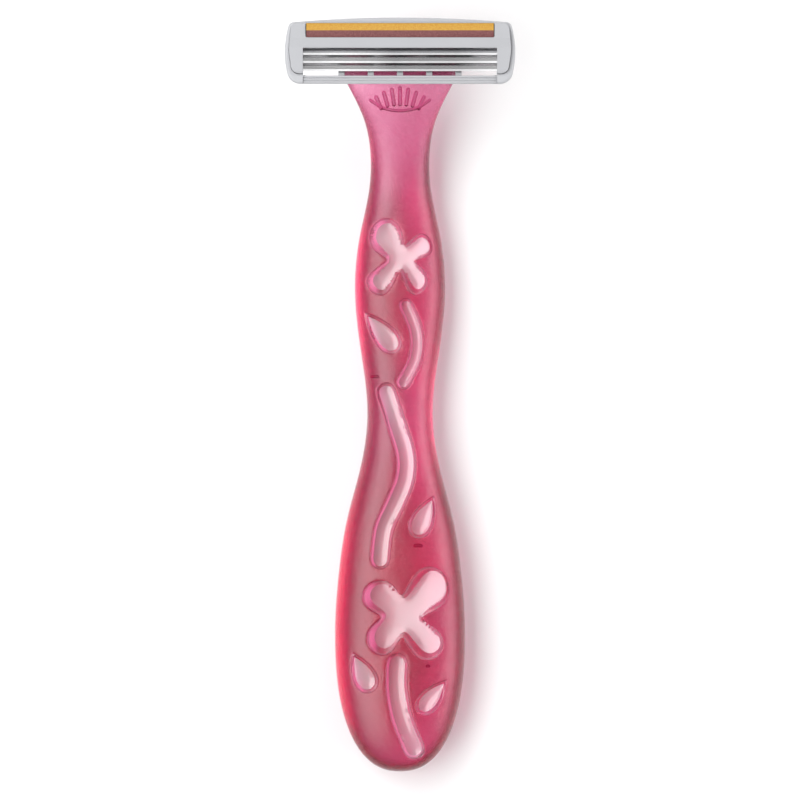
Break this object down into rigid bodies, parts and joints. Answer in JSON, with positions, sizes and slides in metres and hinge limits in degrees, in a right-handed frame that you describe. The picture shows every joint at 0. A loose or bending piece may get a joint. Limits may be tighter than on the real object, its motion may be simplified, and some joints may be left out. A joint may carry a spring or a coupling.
{
  "type": "cartridge razor",
  "caption": "Women's safety razor: curved one-piece handle with decorative pockets, a forked neck, and a pivoting framed head with sprung blades, a lubricating strip and a finned guard.",
  "frame": {"origin": "centre of the footprint at the height of the lowest point of the foot, the razor lying on its back with the blades up", "axes": "+X along the blades, +Y along the handle from the foot to the head, +Z towards the shaving side"},
  "size_m": [0.0418, 0.1369, 0.0217],
  "materials": {
    "handle": "translucent pink, satin outside and glossy in the pockets",
    "head_plastic": "satin",
    "cover_plastic": "satin",
    "strip_yellow": "waxy",
    "strip_mauve": "waxy",
    "blade_steel": "ground, polished bevel",
    "support_steel": "rolled sheet"
  },
  "bodies": {
    "handle": {"handle_body": "handle", "return_tongue": "handle"},
    "head": {"head_frame": "head_plastic", "head_cover": "cover_plastic", "lube_strip_upper": "strip_yellow", "lube_strip_lower": "strip_mauve", "blade_spring_1_left": "head_plastic", "blade_spring_1_right": "head_plastic", "blade_spring_2_left": "head_plastic", "blade_spring_2_right": "head_plastic", "blade_spring_3_left": "head_plastic", "blade_spring_3_right": "head_plastic"},
    "blade_carrier_1": {"blade_1": "blade_steel", "blade_support_1": "support_steel"},
    "blade_carrier_2": {"blade_2": "blade_steel", "blade_support_2": "support_steel"},
    "blade_carrier_3": {"blade_3": "blade_steel", "blade_support_3": "support_steel"}
  },
  "joints": [
    {"name": "head_pivot", "type": "hinge", "parent": "handle", "child": "head", "pos_m": [0, 0.06167, 0.0149], "axis": [-1, 0, 0], "range_deg": [0, 40], "stiffness_Nm_per_rad": 0.02, "springref_deg": -17.19, "deforming": ["return_tongue"]},
    {"name": "blade_1_travel", "type": "slide", "parent": "head", "child": "blade_carrier_1", "axis": [0, -0.1392, -0.9903], "range_m": [0, 0.0004], "stiffness_N_per_m": 150, "springref_m": -0.0005, "deforming": ["blade_spring_1_left", "blade_spring_1_right"]},
    {"name": "blade_2_travel", "type": "slide", "parent": "head", "child": "blade_carrier_2", "axis": [0, -0.1392, -0.9903], "range_m": [0, 0.0004], "stiffness_N_per_m": 150, "springref_m": -0.0005, "deforming": ["blade_spring_2_left", "blade_spring_2_right"]},
    {"name": "blade_3_travel", "type": "slide", "parent": "head", "child": "blade_carrier_3", "axis": [0, -0.1392, -0.9903], "range_m": [0, 0.0004], "stiffness_N_per_m": 150, "springref_m": -0.0005, "deforming": ["blade_spring_3_left", "blade_spring_3_right"]}
  ]
}
